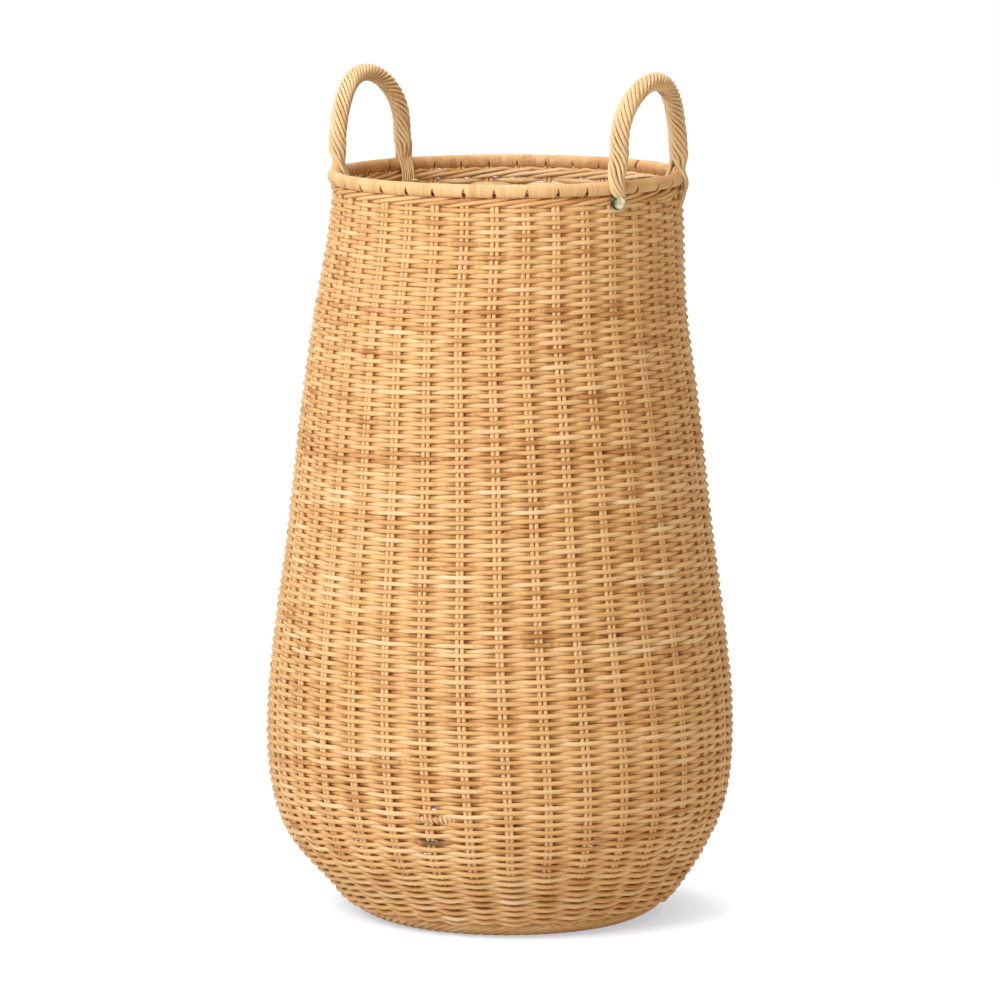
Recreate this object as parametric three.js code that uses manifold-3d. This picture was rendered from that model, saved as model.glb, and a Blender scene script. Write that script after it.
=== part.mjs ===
// Rattan laundry basket: a bellied woven body on paired stakes, a bound hoop rim and two roped handles.
// Millimetres, +Z up. The origin is on the floor at the middle of the foot, and the handles lie on +X and -X.
import * as THREE from 'three';
import { mergeVertices } from 'three/addons/utils/BufferGeometryUtils.js';
import Module from 'manifold-3d';

const wasm = await Module();
wasm.setup();

// Clearances
const seatGap = 0.3; // between two pieces that touch
const ropeBoreGap = 0.5; // between a handle's bow and the rope twisted round it
const tailGap = 0.75; // between a handle's flat tails and the faceted rim and wall that they lie on
const pastEnd = 1; // how far a cutter runs past the face that it opens

// Body line: the wall's outer radius at each height, from the foot to the underside of the rim
const footRadius = 111;
const heelHeight = 25;
const heelRadius = 142.5;
const flankHeight = 55;
const flankRadius = 165;
const haunchHeight = 95;
const haunchRadius = 183;
const bellyHeight = 140;
const bellyRadius = 188;
const waistHeight = 300;
const waistRadius = 172.5;
const chestHeight = 420;
const chestRadius = 158.7;
const throatHeight = 520;
const throatRadius = 145.5;
const neckHeight = 588;
const neckRadius = 139.5;

// Wall and its bands of weave
const wallThickness = 8; // weaver, stake and weaver, nested
const borderHeight = 8;
const borderWidth = 12; // flat ring that the basket stands on
const borderRounding = 2;
const footWaleHeight = 30;
const topWaleHeight = 14;
const facets = 36;
const lowerSteps = 4; // levels between the foot and the belly
const upperSteps = 4; // levels between the belly and the neck
const lowerCrowding = 1.4; // crowds the lower levels towards the tightly curved foot

// Stakes: pairs of round canes side by side
const stakePairs = 36;
const caneDiameter = 3;
const pairSpacing = 4.3; // between the two axes of a pair
const caneCorner = 0.9; // how far the flat side of a pair's section stops short of its edge
const stakeLeans = [3, 3, 3, 2.8, 2, -0.5, -0.6, -3.2, -3.6]; // degrees round, at each height of the body line

// Base
const matThickness = 6;
const baseSticks = 6;
const stickWidth = 4;
const stickThickness = 3;

// Rim
const rimHeight = 12;
const bindingThickness = 1;
const rimArcSteps = 8;
const hoopArcSteps = 5;

// Handles
const handleCount = 2;
const legAngle = THREE.MathUtils.degToRad(20); // from the handle's middle to each leg, round the rim
const handleRise = 78; // from the top of the rim to the top of the rope
const legStraight = 22; // from the top of the rim to where the arch starts
const ropeDiameter = 14;
const bowDiameter = 5;
const bowFootDepth = 48; // how far a bow's foot goes down into the wall
const bowSides = 6;
const ropeSides = 10;
const bowSteps = 32;
const ropeSteps = 22;

// Tails: the rope's canes, parted over the rim and laid flat inside and outside
const tailWidth = 9;
const tailThickness = 3;
const tailStart = THREE.MathUtils.degToRad(32); // from straight up, round the rim's section
const tailSteps = 10;
const outerTailDrop = 10; // below the rim
const innerTailDrop = 22;

// Stud at the foot of one leg
const studDiameter = 12.4;
const studRise = 4.2;
const studEdge = 1; // straight edge of the cap under its dome
const studOffset = 6; // from the middle of the leg to the shank, along the rim
const studBelowRim = 5;
const shankDiameter = 2;
const shankBite = 2; // how deep the shank goes into the weave, short of the stakes behind it
const studSides = 16;
const domeSteps = 4;

// Colours and finishes
const rattanFinish = { color: 0xd9a669, roughness: 0.55, metalness: 0 };
const paleRattanFinish = { color: 0xdfb37c, roughness: 0.5, metalness: 0 };
const stakeFinish = { color: 0xc08a50, roughness: 0.6, metalness: 0 };
const studFinish = { color: 0xd8cdb8, roughness: 0.25, metalness: 1 };

// Helpers that make and cut closed solids

function toSolid(geometry) {
  const bare = geometry.clone();
  bare.deleteAttribute('normal');
  bare.deleteAttribute('uv');
  const merged = mergeVertices(bare);
  return new wasm.Manifold(new wasm.Mesh({
    numProp: 3,
    vertProperties: new Float32Array(merged.attributes.position.array),
    triVerts: new Uint32Array(merged.index.array),
  }));
}

function toGeometry(solid) {
  const mesh = solid.getMesh();
  const geometry = new THREE.BufferGeometry();
  geometry.setAttribute('position', new THREE.BufferAttribute(mesh.vertProperties, 3));
  geometry.setIndex(new THREE.BufferAttribute(mesh.triVerts, 1));
  return geometry;
}

function cutAll(geometry, cutters) {
  const solid = cutters.reduce((body, cutter) => body.subtract(toSolid(cutter)), toSolid(geometry));
  return toGeometry(solid);
}

// A ring or disc turned about +Z from an anticlockwise profile of [radius, height] points.
function revolve(profile, sides = facets) {
  const points = profile.map(([radius, height]) => new THREE.Vector2(radius, height));
  return new THREE.LatheGeometry(points, sides).rotateX(Math.PI / 2);
}

function revolveRing(profile) {
  return revolve([...profile, profile[0]]);
}

// A closed solid through rings of equal length, the lowest first, each anticlockwise from above.
function loft(rings) {
  const sides = rings[0].length;
  const index = [];
  for (let level = 0; level < rings.length - 1; level++) {
    for (let side = 0; side < sides; side++) {
      const low = level * sides + side;
      const lowNext = level * sides + ((side + 1) % sides);
      index.push(low, lowNext, lowNext + sides, low, lowNext + sides, low + sides);
    }
  }
  const top = (rings.length - 1) * sides;
  for (let side = 1; side < sides - 1; side++) {
    index.push(0, side + 1, side, top, top + side, top + side + 1);
  }
  const geometry = new THREE.BufferGeometry();
  geometry.setAttribute('position', new THREE.Float32BufferAttribute(rings.flat(2), 3));
  geometry.setIndex(index);
  return geometry;
}

function regularPolygon(radius, sides) {
  const points = Array.from({ length: sides }, (_, side) => {
    const angle = ((side + 0.5) * 2 * Math.PI) / sides;
    return new THREE.Vector2(radius * Math.cos(angle), radius * Math.sin(angle));
  });
  return new THREE.Shape(points);
}

function sweep(shape, path, steps) {
  return new THREE.ExtrudeGeometry(shape, { steps, extrudePath: path, curveSegments: 1 });
}

// Radius of a polygon whose flat sides clear a round piece of the given radius.
function clearOf(radius, gap, sides) {
  return (radius + gap) / Math.cos(Math.PI / sides);
}

// The wall: a smooth body line, sampled at a few levels that every band and stake shares

const heights = [0, heelHeight, flankHeight, haunchHeight, bellyHeight, waistHeight, chestHeight,
  throatHeight, neckHeight];
const radii = [footRadius, heelRadius, flankRadius, haunchRadius, bellyRadius, waistRadius, chestRadius,
  throatRadius, neckRadius];
const bodyLine = new THREE.CubicInterpolant(heights, radii, 1);
const bodyRadius = (height) => bodyLine.evaluate(height)[0];

// How much longer the wall's thickness is along the floor than square to its own slope.
function slant(height) {
  const step = 1;
  const low = Math.max(height - step, 0);
  const high = Math.min(height + step, neckHeight);
  return Math.hypot(1, (bodyRadius(high) - bodyRadius(low)) / (high - low));
}

const lowerLevels = Array.from({ length: lowerSteps }, (_, i) => bellyHeight * (i / lowerSteps) ** lowerCrowding);
const upperLevels = Array.from(
  { length: upperSteps + 1 },
  (_, i) => bellyHeight + ((neckHeight - bellyHeight) * i) / upperSteps,
);
const levels = [...lowerLevels, ...upperLevels];
const outerLine = new THREE.LinearInterpolant(levels, levels.map(bodyRadius), 1);
const innerLine = new THREE.LinearInterpolant(
  levels,
  levels.map((height) => bodyRadius(height) - wallThickness * slant(height)),
  1,
);
const outerRadius = (height) => outerLine.evaluate(Math.min(height, neckHeight))[0];
const innerRadius = (height) => innerLine.evaluate(Math.min(height, neckHeight))[0];
const middleRadius = (height) => (outerRadius(height) + innerRadius(height)) / 2;

const leanLine = new THREE.LinearInterpolant(heights, stakeLeans.map(THREE.MathUtils.degToRad), 1);
const levelLeans = new THREE.LinearInterpolant(levels, levels.map((height) => leanLine.evaluate(height)[0]), 1);

// Turns each point of a piece about +Z, as far as the stakes lean at its height.
function leanWithStakes(geometry) {
  const { position } = geometry.attributes;
  const point = new THREE.Vector3();
  const up = new THREE.Vector3(0, 0, 1);
  for (let i = 0; i < position.count; i++) {
    point.fromBufferAttribute(position, i);
    point.applyAxisAngle(up, levelLeans.evaluate(point.z)[0]);
    position.setXYZ(i, point.x, point.y, point.z);
  }
  return geometry;
}

// Turns a ring or disc so that the middles of its facets lie on the stakes at every height.
function facetedToStakes(geometry) {
  return leanWithStakes(geometry.rotateZ(Math.PI / facets));
}

const levelsBetween = (low, high) => [low, ...levels.filter((height) => height > low && height < high), high];

const rimRadius = middleRadius(neckHeight);
const rimSection = rimHeight / 2;
const rimMiddle = neckHeight + rimSection;
const rimTop = neckHeight + rimHeight;

// Stakes stand in the middle of each facet, where the wall lies a little nearer to the axis.
const facetNearness = Math.cos(Math.PI / facets);
const pairAngle = (pair) => (pair * 2 * Math.PI) / stakePairs;
const stakeFoot = borderHeight + seatGap;
const caneRadius = caneDiameter / 2;
const pairHalfWidth = (pairSpacing + caneDiameter) / 2;

// The binding's inner wall is a polygon, and what it holds stays inside that polygon's flats.
const bindingInside = rimSection - bindingThickness;
const bindingOpening = Math.asin((caneRadius + seatGap) / bindingInside);
const rimArcStep = (2 * (Math.PI - bindingOpening)) / rimArcSteps;
const hoopRadius = bindingInside * Math.cos(rimArcStep / 2) - seatGap;
const stakeTop = rimMiddle + Math.sqrt(hoopRadius ** 2 - caneRadius ** 2);

function pairSection(height, growth) {
  const middle = middleRadius(height) * facetNearness;
  const depth = caneRadius * slant(Math.min(height, neckHeight)) + growth;
  const width = pairHalfWidth + growth;
  const flat = width - caneCorner;
  return [
    [middle, -width, height], [middle + depth, -flat, height], [middle + depth, flat, height],
    [middle, width, height], [middle - depth, flat, height], [middle - depth, -flat, height],
  ];
}

function channelSection(height) {
  const middle = middleRadius(height) * facetNearness;
  const depth = caneRadius * slant(Math.min(height, neckHeight)) + seatGap;
  const width = pairHalfWidth + seatGap;
  return [
    [middle + depth, -width, height], [middle + depth, width, height],
    [middle - depth, width, height], [middle - depth, -width, height],
  ];
}

const stakeShape = leanWithStakes(
  loft(levelsBetween(stakeFoot + seatGap, stakeTop).map((height) => pairSection(height, 0))),
);

function stakeChannels(low, high) {
  const channel = leanWithStakes(loft(levelsBetween(low - pastEnd, high + pastEnd).map(channelSection)));
  return Array.from({ length: stakePairs }, (_, pair) => channel.clone().rotateZ(pairAngle(pair)));
}

function wallBand(low, high) {
  const rows = levelsBetween(low, high);
  const outside = rows.map((height) => [outerRadius(height), height]);
  const inside = rows.map((height) => [innerRadius(height), height]).reverse();
  return facetedToStakes(revolveRing([...outside, ...inside]));
}

// Handles: a bow whose feet go down into the wall, with its path on the rim's cylinder

function onCylinder(radius, angle, height) {
  return new THREE.Vector3(radius * Math.cos(angle), radius * Math.sin(angle), height);
}

const springHeight = rimTop + legStraight;
const archRise = handleRise - legStraight - ropeDiameter / 2;
const bowFoot = rimTop - bowFootDepth;
const bindingSide = rimSection + tailGap;
const ropeFoot = rimMiddle + (bindingSide + tailThickness) * Math.cos(tailStart) + seatGap
  + (tailThickness / 2) * Math.sin(tailStart);

function legPoints(lowest, side) {
  const stops = 4;
  return Array.from({ length: stops }, (_, i) => {
    const height = lowest + ((springHeight - lowest) * i) / stops;
    return onCylinder(middleRadius(height), side * legAngle, height);
  });
}

function archPoints() {
  const stops = 12;
  return Array.from({ length: stops + 1 }, (_, i) => {
    const turn = (Math.PI * i) / stops;
    return onCylinder(rimRadius, -legAngle * Math.cos(turn), springHeight + archRise * Math.sin(turn));
  });
}

function handlePath(lowest) {
  const points = [...legPoints(lowest, -1), ...archPoints(), ...legPoints(lowest, 1).reverse()];
  return new THREE.CatmullRomCurve3(points);
}

function bowShape(radius, lowest, steps) {
  return sweep(regularPolygon(radius, bowSides), handlePath(lowest), steps);
}

function ropeShape() {
  const shape = regularPolygon(ropeDiameter / 2, ropeSides);
  shape.holes.push(regularPolygon(clearOf(bowDiameter / 2, ropeBoreGap, bowSides), bowSides));
  return sweep(shape, handlePath(ropeFoot), ropeSteps);
}

const handleAngles = Array.from({ length: handleCount }, (_, i) => (i * 2 * Math.PI) / handleCount);

// Straight holes through the rim and sockets down the wall, one for each foot of a bow.
function footSockets(low, high) {
  const radius = clearOf(bowDiameter / 2, seatGap, bowSides);
  const section = Array.from({ length: bowSides }, (_, side) => {
    const angle = ((side + 0.5) * 2 * Math.PI) / bowSides;
    return [radius * Math.cos(angle), radius * Math.sin(angle)];
  });
  const ring = (height) => section.map(([x, y]) => [middleRadius(height) + x, y, height]);
  const socket = loft(levelsBetween(low, high).map(ring));
  return handleAngles.flatMap((angle) => [-1, 1].map((side) => socket.clone().rotateZ(angle + side * legAngle)));
}

const socketFloor = bowFoot - seatGap;

// Tails: flat bundles of canes that leave the rope's foot and hug the rim and the wall

function tailPath(outward, drop) {
  const reach = bindingSide + tailThickness / 2;
  const hug = Array.from({ length: 4 }, (_, i) => {
    const turn = tailStart + ((Math.PI / 2 - tailStart) * i) / 3;
    return [rimRadius + outward * reach * Math.sin(turn), rimMiddle + reach * Math.cos(turn)];
  });
  const wallFace = outward > 0 ? outerRadius : innerRadius;
  const along = [0.5, 1].map((share) => {
    const height = neckHeight - drop * share;
    return [wallFace(height) + outward * (tailGap + tailThickness / 2), height];
  });
  return new THREE.CatmullRomCurve3([...hug, ...along].map(([x, z]) => new THREE.Vector3(x, 0, z)));
}

function tailShape(outward, drop) {
  const [halfWidth, halfThickness] = [tailWidth / 2, tailThickness / 2];
  const edge = halfWidth - halfThickness / 2;
  const strip = new THREE.Shape([
    new THREE.Vector2(halfWidth, 0), new THREE.Vector2(edge, halfThickness),
    new THREE.Vector2(-edge, halfThickness), new THREE.Vector2(-halfWidth, 0),
    new THREE.Vector2(-edge, -halfThickness), new THREE.Vector2(edge, -halfThickness),
  ]);
  return sweep(strip, tailPath(outward, drop), tailSteps);
}

// Stud: a domed cap on a shank, made along +Z and laid over to point outwards

const studHeight = neckHeight - studBelowRim;
const studSeat = rimRadius + bindingSide + tailThickness + seatGap; // on the tail where it rounds the rim
const studAngle = -legAngle - studOffset / rimRadius;
const shankLength = studSeat - outerRadius(studHeight) + shankBite;

function laidOutwards(geometry) {
  return geometry.rotateY(Math.PI / 2).translate(studSeat, 0, studHeight).rotateZ(studAngle);
}

function studShape() {
  const radius = studDiameter / 2;
  const dome = Array.from({ length: domeSteps + 1 }, (_, i) => {
    const turn = (Math.PI / 2) * (i / domeSteps);
    return [radius * Math.cos(turn), studEdge + (studRise - studEdge) * Math.sin(turn)];
  });
  dome[domeSteps][0] = 0;
  const shank = [[0, -shankLength], [shankDiameter / 2, -shankLength], [shankDiameter / 2, 0], [radius, 0]];
  return laidOutwards(revolve([...shank, ...dome], studSides));
}

function shankHole() {
  const radius = clearOf(shankDiameter / 2, seatGap, studSides);
  const depth = shankLength + seatGap;
  return laidOutwards(revolve([[0, -depth], [radius, -depth], [radius, 0], [0, 0]], studSides));
}

// Pieces of the base

function stickStar(growth, reach) {
  const bars = Array.from({ length: baseSticks }, (_, i) => {
    const bar = new THREE.BoxGeometry(2 * reach, stickWidth + 2 * growth, stickThickness + 2 * growth);
    return toSolid(bar.rotateZ((i * Math.PI) / baseSticks));
  });
  return toGeometry(bars.reduce((star, bar) => star.add(bar)));
}

const matFloor = borderHeight + seatGap;
const matTop = matFloor + matThickness;
const stickMiddle = (matFloor + matTop) / 2;
const stickReach = innerRadius(matFloor) * facetNearness - 2 * seatGap;

function matShape() {
  const mat = revolve([
    [0, matFloor], [innerRadius(matFloor) - seatGap, matFloor],
    [innerRadius(matTop) - seatGap, matTop], [0, matTop],
  ]);
  return cutAll(facetedToStakes(mat), [stickStar(seatGap, innerRadius(matTop)).translate(0, 0, stickMiddle)]);
}

function borderShape() {
  const outside = footRadius - borderRounding;
  return facetedToStakes(revolveRing([
    [outside - borderWidth, 0], [outside, 0], [outerRadius(borderRounding), borderRounding],
    [outerRadius(borderHeight), borderHeight], [outside - borderWidth, borderHeight],
  ]));
}

// Pieces of the rim

function arcPoints(radius, from, to, steps) {
  return Array.from({ length: steps + 1 }, (_, i) => {
    const turn = from + ((to - from) * i) / steps;
    return [rimRadius + radius * Math.sin(turn), rimMiddle + radius * Math.cos(turn)];
  });
}

const rimSockets = footSockets(neckHeight - pastEnd, rimTop + pastEnd);

function bindingShape() {
  const reach = Math.PI - bindingOpening;
  const outside = arcPoints(rimSection, reach, -reach, rimArcSteps);
  const inside = arcPoints(bindingInside, -reach, reach, rimArcSteps);
  return cutAll(facetedToStakes(revolveRing([...outside, ...inside])), rimSockets);
}

function hoopShape(outward) {
  const start = Math.asin((caneRadius + seatGap) / hoopRadius);
  const half = arcPoints(hoopRadius, Math.PI - start, start, hoopArcSteps);
  const profile = outward > 0 ? half : half.map(([radius, height]) => [2 * rimRadius - radius, height]).reverse();
  return cutAll(facetedToStakes(revolveRing(profile)), rimSockets);
}

// The basket

const group = new THREE.Group();

function addPiece(name, geometry, finish, turn = 0) {
  const mesh = new THREE.Mesh(geometry, new THREE.MeshStandardMaterial(finish));
  mesh.name = name;
  mesh.rotation.z = turn;
  group.add(mesh);
}

const footWaleTop = stakeFoot + footWaleHeight;
const topWaleFloor = neckHeight - topWaleHeight;
const topWaleTop = neckHeight - seatGap;
const sidingFloor = footWaleTop + seatGap;
const sidingTop = topWaleFloor - seatGap;

addPiece('foot_border', borderShape(), rattanFinish);
addPiece('base_mat', matShape(), rattanFinish);
addPiece('base_sticks', stickStar(0, stickReach).translate(0, 0, stickMiddle), stakeFinish);

addPiece(
  'foot_waling',
  cutAll(wallBand(stakeFoot, footWaleTop), stakeChannels(stakeFoot, footWaleTop)),
  rattanFinish,
);
addPiece(
  'siding_weave',
  cutAll(wallBand(sidingFloor, sidingTop), [
    ...stakeChannels(sidingFloor, sidingTop),
    ...footSockets(socketFloor, sidingTop + pastEnd),
  ]),
  rattanFinish,
);
addPiece(
  'top_waling',
  cutAll(wallBand(topWaleFloor, topWaleTop), [
    ...stakeChannels(topWaleFloor, topWaleTop),
    ...footSockets(topWaleFloor - pastEnd, topWaleTop + pastEnd),
    shankHole(),
  ]),
  rattanFinish,
);

for (let pair = 0; pair < stakePairs; pair++) {
  addPiece(`stake_pair_${String(pair + 1).padStart(2, '0')}`, stakeShape, stakeFinish, pairAngle(pair));
}

addPiece('rim_hoop_outer', hoopShape(1), stakeFinish);
addPiece('rim_hoop_inner', hoopShape(-1), stakeFinish);
addPiece('rim_binding', bindingShape(), paleRattanFinish);

const handleNames = ['right', 'left'];
handleAngles.forEach((angle, handle) => {
  const side = handleNames[handle];
  addPiece(`handle_bow_${side}`, bowShape(bowDiameter / 2, bowFoot, bowSteps), stakeFinish, angle);
  addPiece(`handle_rope_${side}`, ropeShape(), paleRattanFinish, angle);
  [-1, 1].forEach((direction) => {
    const turn = angle + direction * legAngle;
    const leg = Math.sin(turn) < 0 ? 'front' : 'back';
    addPiece(`handle_tail_outer_${side}_${leg}`, tailShape(1, outerTailDrop), paleRattanFinish, turn);
    addPiece(`handle_tail_inner_${side}_${leg}`, tailShape(-1, innerTailDrop), paleRattanFinish, turn);
  });
});

addPiece('stud', studShape(), studFinish);

export default group;
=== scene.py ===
import math

import bmesh
import bpy
import numpy as np
from mathutils import Matrix, Vector


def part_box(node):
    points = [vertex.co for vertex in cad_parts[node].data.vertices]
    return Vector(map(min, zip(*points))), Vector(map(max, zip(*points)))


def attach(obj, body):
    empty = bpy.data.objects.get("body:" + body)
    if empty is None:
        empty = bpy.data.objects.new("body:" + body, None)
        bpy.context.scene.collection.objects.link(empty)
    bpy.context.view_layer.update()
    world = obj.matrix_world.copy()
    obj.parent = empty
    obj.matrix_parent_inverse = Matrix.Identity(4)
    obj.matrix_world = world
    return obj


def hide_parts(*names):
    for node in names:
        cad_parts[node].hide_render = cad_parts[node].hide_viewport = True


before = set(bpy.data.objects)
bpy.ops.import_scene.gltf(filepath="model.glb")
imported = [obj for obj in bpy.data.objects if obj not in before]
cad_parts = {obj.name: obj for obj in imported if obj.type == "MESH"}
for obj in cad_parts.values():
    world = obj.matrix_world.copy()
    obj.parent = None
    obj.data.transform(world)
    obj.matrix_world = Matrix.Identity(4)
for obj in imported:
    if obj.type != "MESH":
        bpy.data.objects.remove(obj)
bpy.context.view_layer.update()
mm = 0.001
turn = 2 * math.pi


def placed(name, data):
    thing = bpy.data.objects.new(name, data)
    bpy.context.scene.collection.objects.link(thing)
    return thing


def meshOf(form, name):
    mesh = bpy.data.meshes.new(name)
    form.to_mesh(mesh)
    form.free()
    return mesh


def unit(vectors):
    return vectors / np.linalg.norm(vectors, axis=-1, keepdims=True)


def eased(share):
    # rises smoothly from 0 to 1
    share = np.clip(share, 0, 1)
    return share * share * (3 - 2 * share)


def summed(steps):
    return np.concatenate([[0], np.cumsum(steps)])


def anglesRound(count):
    return np.arange(count) * turn / count


# The camera stands where the photograph was taken, to the right of the front

camera = {
    "azimuth": math.radians(30.5),
    "distance": 5.2,  # from the basket's axis, along the floor
    "height": 1.0543,
    "pitch": math.radians(7.897),
    "lens": 235.96,
    "shift": -0.0035,
}
azimuth = camera["azimuth"]
rightward = np.array([math.cos(azimuth), math.sin(azimuth), 0])  # to the camera's right
nearward = np.array([math.sin(azimuth), -math.cos(azimuth), 0])  # towards the camera


def placeCamera():
    data = bpy.data.cameras.new("camera")
    data.lens, data.sensor_width, data.shift_x = camera["lens"], 36, camera["shift"]
    data.clip_start, data.clip_end = 0.5, 30
    eye = placed("camera", data)
    eye.location = nearward * camera["distance"] + [0, 0, camera["height"]]
    eye.rotation_euler = (math.pi / 2 - camera["pitch"], 0, azimuth)
    bpy.context.scene.camera = eye


placeCamera()

# Shader maths: a wire is one output socket, and sums of wires add their own nodes


class Wire:
    def __init__(self, tree, socket):
        self.tree, self.socket = tree, socket

    def node(self, kind, settings=None, inputs=None, output=0):
        made = self.tree.nodes.new(kind)
        for name, value in (settings or {}).items():
            setattr(made, name, value)
        for place, value in (inputs or {}).items():
            if isinstance(value, Wire):
                self.tree.links.new(value.socket, made.inputs[place])
            else:
                made.inputs[place].default_value = value
        return Wire(self.tree, made.outputs[output])

    def ramp(self, stops):
        made = self.node("ShaderNodeValToRGB", None, {0: self})
        steps = made.socket.node.color_ramp.elements
        while len(steps) < len(stops):
            steps.new(0.5)
        for step, (place, colour) in zip(steps, stops):
            step.position, step.color = place, (*colour, 1)
        return made

    def maths(self, operation, first, second, clamp=False):
        settings = {"operation": operation, "use_clamp": clamp}
        return self.node("ShaderNodeMath", settings, {0: first, 1: second})

    def vector(self, operation, other=None, output=0):
        inputs = {0: self} if other is None else {0: self, 1: other}
        return self.node("ShaderNodeVectorMath", {"operation": operation}, inputs, output)

    def mix(self, share, other):
        return self.node("ShaderNodeMix", {"data_type": "RGBA"}, {0: share, 6: self, 7: other}, 2)

    def between(self, none, full):
        return self.node("ShaderNodeMix", {"data_type": "RGBA"}, {0: self, 6: none, 7: full}, 2)

    def clamped(self):
        return self.maths("ADD", self, 0.0, True)

    def above(self, level, steepness, strength):
        return ((self - level) * steepness).clamped() * strength

    def __add__(self, other):
        return self.maths("ADD", self, other)

    def __sub__(self, other):
        return self.maths("SUBTRACT", self, other)

    def __mul__(self, other):
        return self.maths("MULTIPLY", self, other)


def newMaterial(name):
    material = bpy.data.materials.new(name)
    material.use_nodes = True
    tree = material.node_tree
    return material, tree.nodes["Principled BSDF"], Wire(tree, None)


def plug(wire, node, place):
    wire.tree.links.new(wire.socket, node.inputs[place])


# Rattan: each cane has its own tone, fibres run along it, and some stretches are pink, pale or brown

rattan = {
    "shades": [(0.0, (0.44, 0.165, 0.024)), (0.33, (0.72, 0.42, 0.155)),
               (0.6, (0.81, 0.575, 0.29)), (1.0, (0.92, 0.77, 0.56))],  # from deep brown to cream
    "blush": (0.84, 0.47, 0.26),
    "scar": (0.34, 0.15, 0.05),
    "bleached": (0.82, 0.76, 0.55),
    "gloom": (0.05, 0.02, 0.008),  # painted shade: mixed in where the tone is below 0, as in the slits of the binding and where canes go in behind the stakes
    "fibresRound": 9.0,  # fibre streaks round one cane
    "fibreLength": 26.0,  # streaks to the metre, along the cane
    "patchLength": 9.0,  # patches of tone to the metre
    "toneStep": 13.0,  # takes each tone to a spot of its own in the noise
    "wrapScale": (0.04, 110.0),  # turns the fibres across the hoop, on the binding
    "shares": (0.62, 0.62, 0.3),  # in the shade: a cane's tone, its fibres, and what the two take off
    "patchShare": (0.5, 0.14),  # of a round cane, and of the binding
    "blushes": (0.54, 7.0, 0.5),  # where in the noise they begin, how steeply, and how strong
    "scars": (0.70, 12.0, 0.5),
    "wrapScars": (0.60, 9.0, 0.42),
    "roughness": (0.36, 0.58),
    "gloss": 0.25,
    "relief": 0.12 * mm,
    "reliefStrength": 0.6,
}


def rattanMaterial(name, lift, bleached=0.0, acrossWraps=False):
    material, surface, wires = newMaterial(name)
    place = wires.node("ShaderNodeUVMap", {"uv_map": "UVMap"})
    along = wires.node("ShaderNodeSeparateXYZ", None, {0: place})
    around = Wire(wires.tree, along.socket.node.outputs[1])
    toneAndPaintedLight = wires.node("ShaderNodeAttribute", {"attribute_name": "toneAndPaintedLight"}, None, "Fac")
    if acrossWraps:
        lengthwise, crosswise = rattan["wrapScale"]
        along, around = around * lengthwise, along * crosswise

    def noise(lengthwise, roundwise, detail):
        axes = {0: along * lengthwise, 1: around * roundwise, 2: toneAndPaintedLight * rattan["toneStep"]}
        spot = wires.node("ShaderNodeCombineXYZ", None, axes)
        inputs = {"Vector": spot, "Scale": 1.0, "Detail": detail, "Roughness": 0.6}
        return wires.node("ShaderNodeTexNoise", None, inputs, "Fac")

    fibre = noise(rattan["fibreLength"], rattan["fibresRound"], 4.0)
    patch = noise(rattan["patchLength"], 0.4, 2.0)
    blotch = noise(rattan["patchLength"] * 2.7, 0.8, 1.0)
    patches = rattan["patchShare"][acrossWraps]
    ofTone, ofFibre, less = rattan["shares"]
    shade = (toneAndPaintedLight * ofTone + patch * patches + fibre * ofFibre + (lift - less - patches / 2)).clamped()
    colour = shade.ramp(rattan["shades"]).mix(blotch.above(*rattan["blushes"]), (*rattan["blush"], 1))
    if acrossWraps:
        scarred = noise(20.0, 5.0, 2.0).above(*rattan["wrapScars"])
    else:
        scarred = noise(60.0, 2.0, 3.0).above(*rattan["scars"])
    colour = colour.mix(scarred, (*rattan["scar"], 1))
    if bleached:
        colour = colour.mix(bleached, (*rattan["bleached"], 1))
    # painted shade: a tone below 0 turns the colour towards the gloom
    colour = colour.mix((toneAndPaintedLight * -2.0).clamped(), (*rattan["gloom"], 1))
    plug(colour, surface, "Base Color")
    low, high = rattan["roughness"]
    plug(fibre * (high - low) + low, surface, "Roughness")
    inputs = {"Height": fibre, "Strength": rattan["reliefStrength"], "Distance": rattan["relief"]}
    bump = wires.node("ShaderNodeBump", None, inputs)
    plug(bump, surface, "Normal")
    surface.inputs["Specular IOR Level"].default_value = rattan["gloss"]
    return material


weaverCane = rattanMaterial("weaver_cane", 0.03, bleached=0.06)
stakeCane = rattanMaterial("stake_cane", 0.10, bleached=0.06)
ropeCane = rattanMaterial("rope_cane", 0.1, bleached=0.28)
bindingCane = rattanMaterial("binding_cane", 0.02, bleached=0.14, acrossWraps=True)
print("materials made")

# The wall: the body's outer line, and how the basket leans a little to one side and back

wall = {
    # height and outer radius, in mm
    "outline": [(0, 111), (8, 125.5), (25, 142.5), (55, 165.8), (95, 183),
                (140, 188), (300, 172.5), (420, 158.7), (520, 145.5), (588, 139.5)],
    # height and shift to the camera's right, in mm
    "lean": [(0, 2.8), (20, 2.8), (70, -2.8), (470, -2.8), (575, 2.8), (700, 2.8)],
    # height in mm, and how far the stakes stand turned there, in degrees
    "stakeLean": [(0, 3), (94, 2.8), (140, 2), (252, 0.25), (364, -0.55), (476, -2.06), (588, -3.6)],
    "pairs": 36,
    "caneRadius": 1.87 * mm,
    "weaveDepth": 3.9 * mm,  # from the outer line to the middle of the weave
    "swing": 2.4 * mm,  # of a weaver, out and in round the stakes
    "footSwing": 0.85,  # share of the swing at the foot
    "stakeDepth": 3.45 * mm,
    "stakeSunk": 2.4 * mm,  # how much deeper the stakes stand at the foot, behind the rows
    "footTop": (45 * mm, 95 * mm),  # way up the wall where the foot's tight rows open out
}
pairStep = turn / wall["pairs"]


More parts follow.
